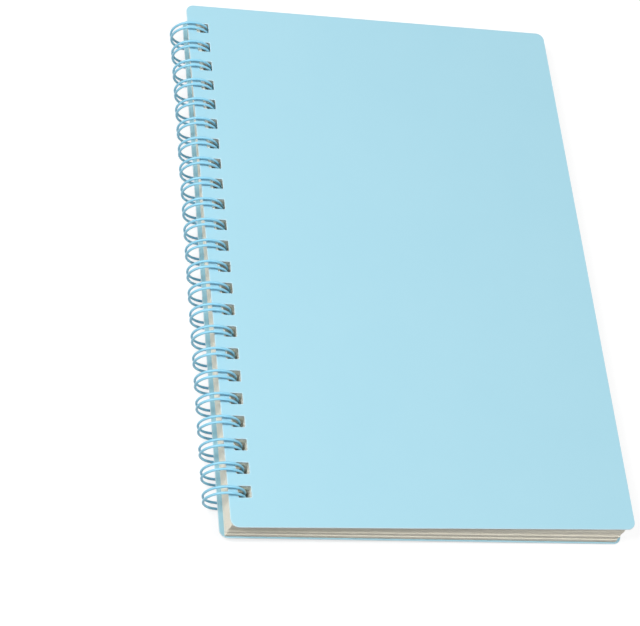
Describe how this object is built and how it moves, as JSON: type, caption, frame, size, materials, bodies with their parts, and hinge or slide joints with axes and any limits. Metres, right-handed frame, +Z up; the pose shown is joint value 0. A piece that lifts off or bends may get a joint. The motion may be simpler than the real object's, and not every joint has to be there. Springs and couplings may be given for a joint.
{
  "type": "wire-bound notebook",
  "caption": "Slim side-bound notebook with a smooth plastic front and back cover, rounded corners and a painted twin-loop wire along the spine.",
  "frame": {"origin": "centre of the whole object's underside, at the level where the wire loops touch the table", "axes": "+X from the wire to the fore edge, +Y from the tail to the head, +Z up through the front cover"},
  "size_m": [0.1516, 0.2106, 0.0149],
  "materials": {
    "cover": "matt, fine-grained light-blue polypropylene",
    "paper": null,
    "wire": "satin sky-blue paint on steel wire"
  },
  "bodies": {
    "block": {"pages": "paper", "back_cover": "cover", "twin_wire": "wire"},
    "front": {"front_cover": "cover"}
  },
  "joints": [
    {"name": "front_hinge", "type": "hinge", "parent": "block", "child": "front", "pos_m": [-0.06838, 0, 0.00745], "axis": [0, -1, 0], "range_deg": [0, 185]}
  ]
}
